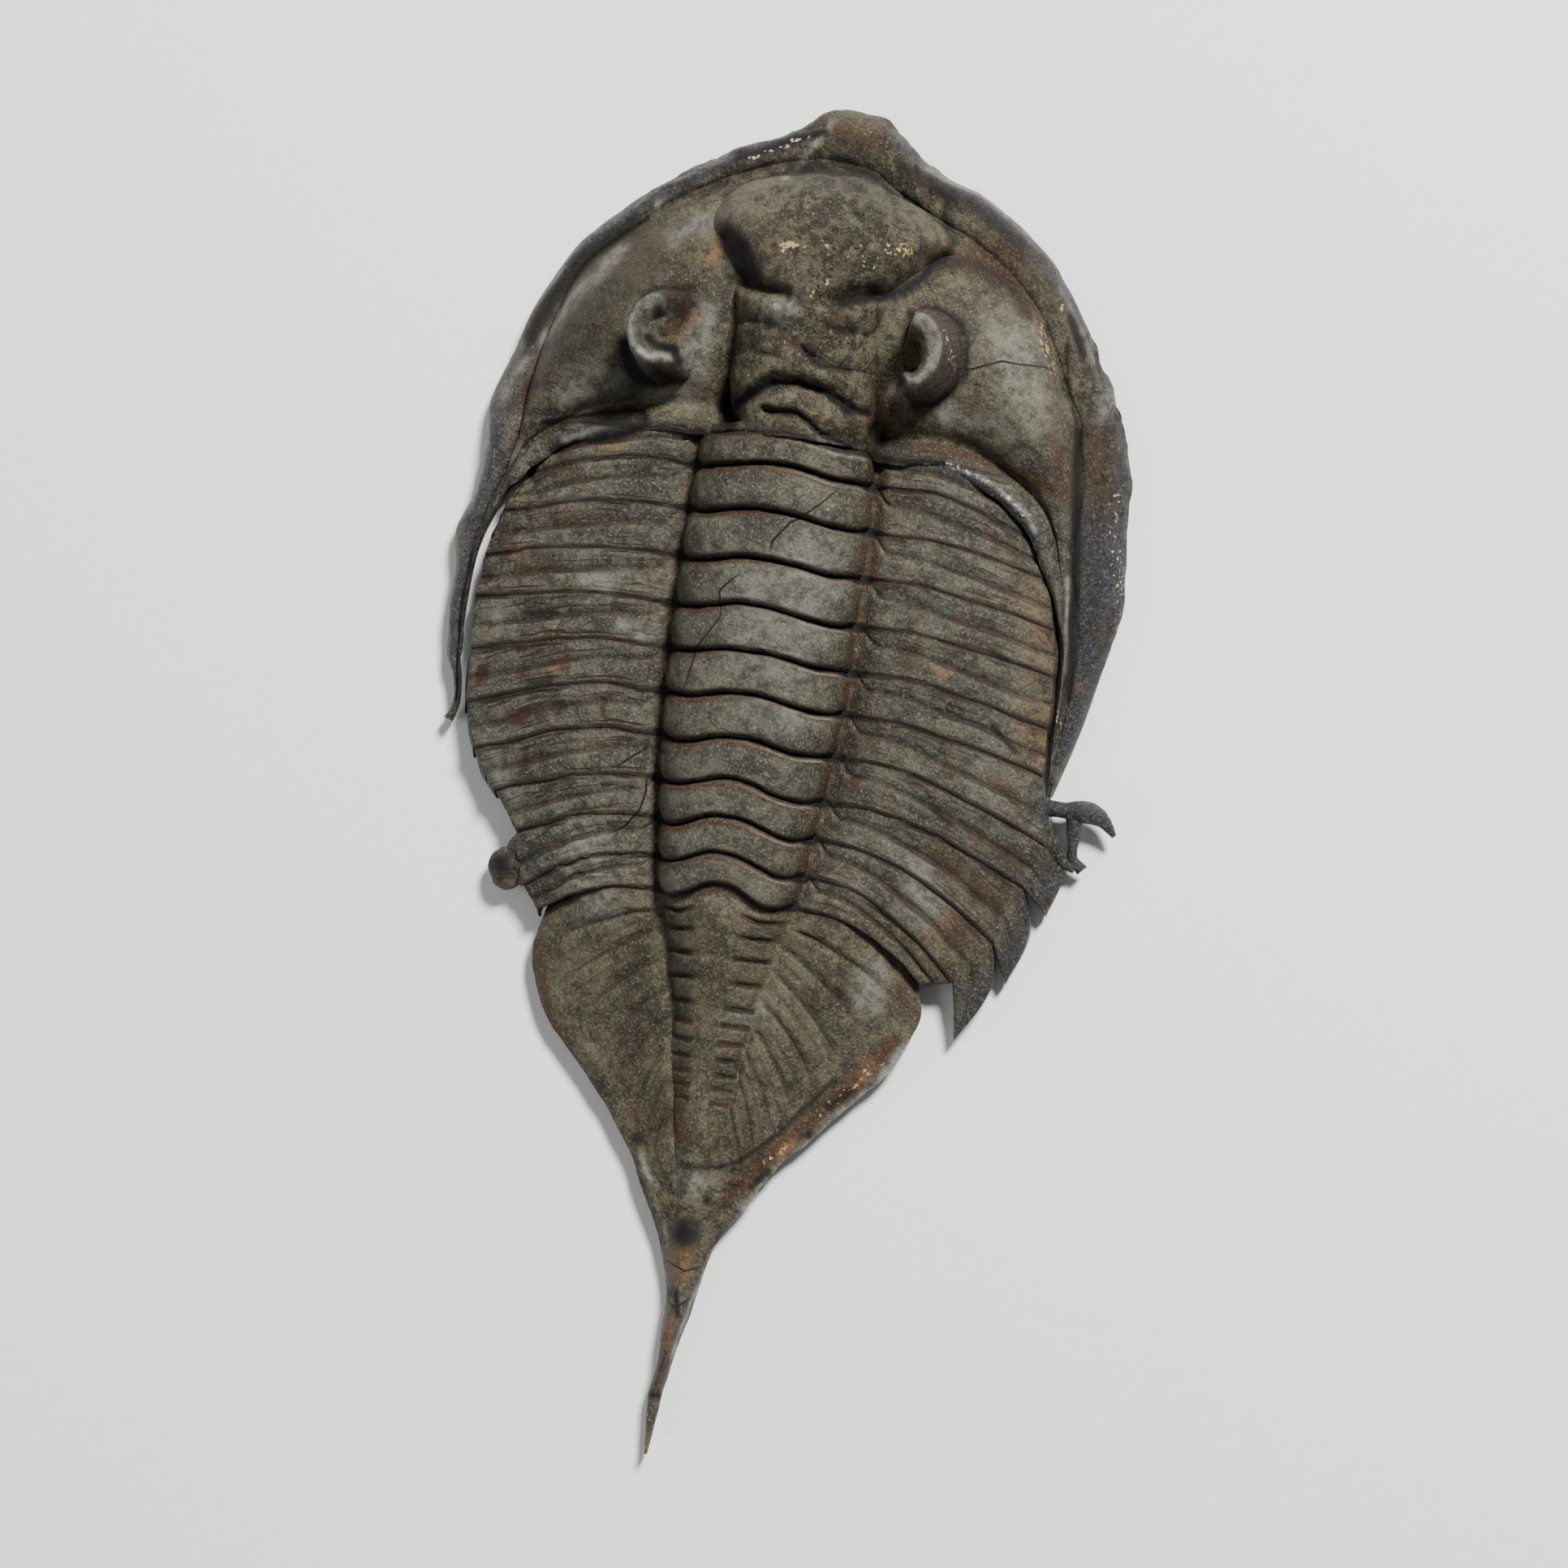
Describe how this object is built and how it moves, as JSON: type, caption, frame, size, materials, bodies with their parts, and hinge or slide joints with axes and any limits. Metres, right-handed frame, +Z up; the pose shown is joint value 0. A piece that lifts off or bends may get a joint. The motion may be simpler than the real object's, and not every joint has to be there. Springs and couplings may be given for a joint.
{
  "type": "fossil trilobite",
  "caption": "Low fossil of a trilobite: domed head shield with tall eyes and long cheek spines, ribbed jointed body, and a ribbed tail shield drawn out into a thin spine.",
  "frame": {"origin": "centre of the fossil's outline box, on the plane of the flat underside that it rests on", "axes": "+Y along the body from the tail spine to the snout, +Z up out of the back, +X to the animal's right"},
  "size_m": [0.035, 0.0672, 0.0086],
  "materials": {
    "fossil_stone": "matt, glossy along the dark edges"
  },
  "bodies": {
    "root": {"trilobite": "fossil_stone"}
  },
  "joints": []
}
